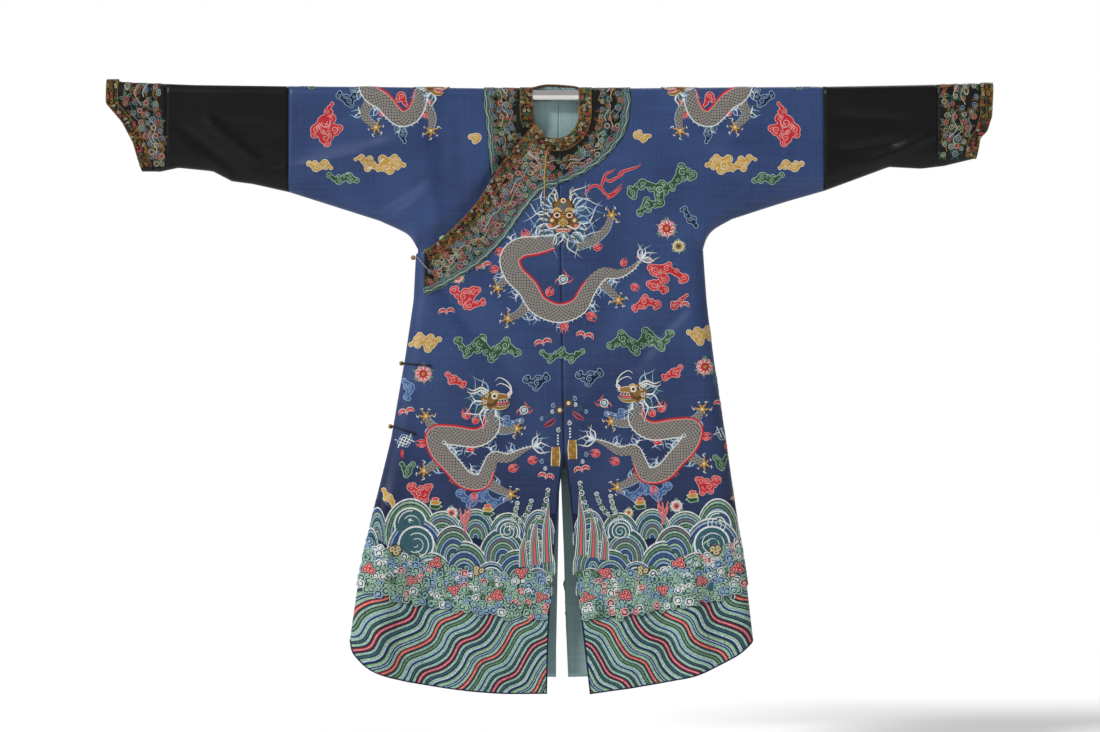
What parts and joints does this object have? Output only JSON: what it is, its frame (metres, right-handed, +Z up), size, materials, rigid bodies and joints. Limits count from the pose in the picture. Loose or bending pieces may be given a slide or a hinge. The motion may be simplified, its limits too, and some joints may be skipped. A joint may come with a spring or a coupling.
{
  "type": "chinese dragon robe on a hanging rod",
  "caption": "Blue silk dragon robe with black sleeves and embroidered collar and cuffs, hung flat on a round metal rod through its sleeves.",
  "frame": {"origin": "middle of the hanging rod, on its axis, under the neck of the robe", "axes": "+X along the rod to the wearer's left sleeve, +Y away from the robe's front, +Z up"},
  "size_m": [2.0352, 0.093, 1.4078],
  "materials": {
    "blue_silk": "dark blue figured silk satin with woven dragons, clouds and waves",
    "black_silk": "plain black silk satin",
    "embroidered_satin": "black satin with many-coloured flower embroidery",
    "gold_edging": "woven gold and black edging",
    "pale_lining": "pale blue-green silk lining, a little creased",
    "button_brass": "aged brass balls",
    "loop_cord": "twisted silk cord",
    "rod_metal": "polished metal tube"
  },
  "bodies": {
    "root": {"body_left": "blue_silk", "body_right": "blue_silk", "front_overlap": "blue_silk", "sleeve_left": "black_silk", "sleeve_right": "black_silk", "cuff_left": "embroidered_satin", "cuff_right": "embroidered_satin", "neck_facing_left": "embroidered_satin", "neck_facing_right": "embroidered_satin", "overlap_facing": "embroidered_satin", "neck_trim_left": "gold_edging", "neck_trim_right": "gold_edging", "overlap_trim": "gold_edging", "cuff_trim_left": "gold_edging", "cuff_trim_right": "gold_edging", "lining_neck_left": "pale_lining", "lining_neck_right": "pale_lining", "lining_slit_left": "pale_lining", "lining_slit_right": "pale_lining", "button_armpit": "button_brass", "button_waist": "button_brass", "button_hip": "button_brass", "loop_armpit": "loop_cord", "loop_waist": "loop_cord", "loop_hip": "loop_cord", "rod": "rod_metal"}
  },
  "joints": []
}
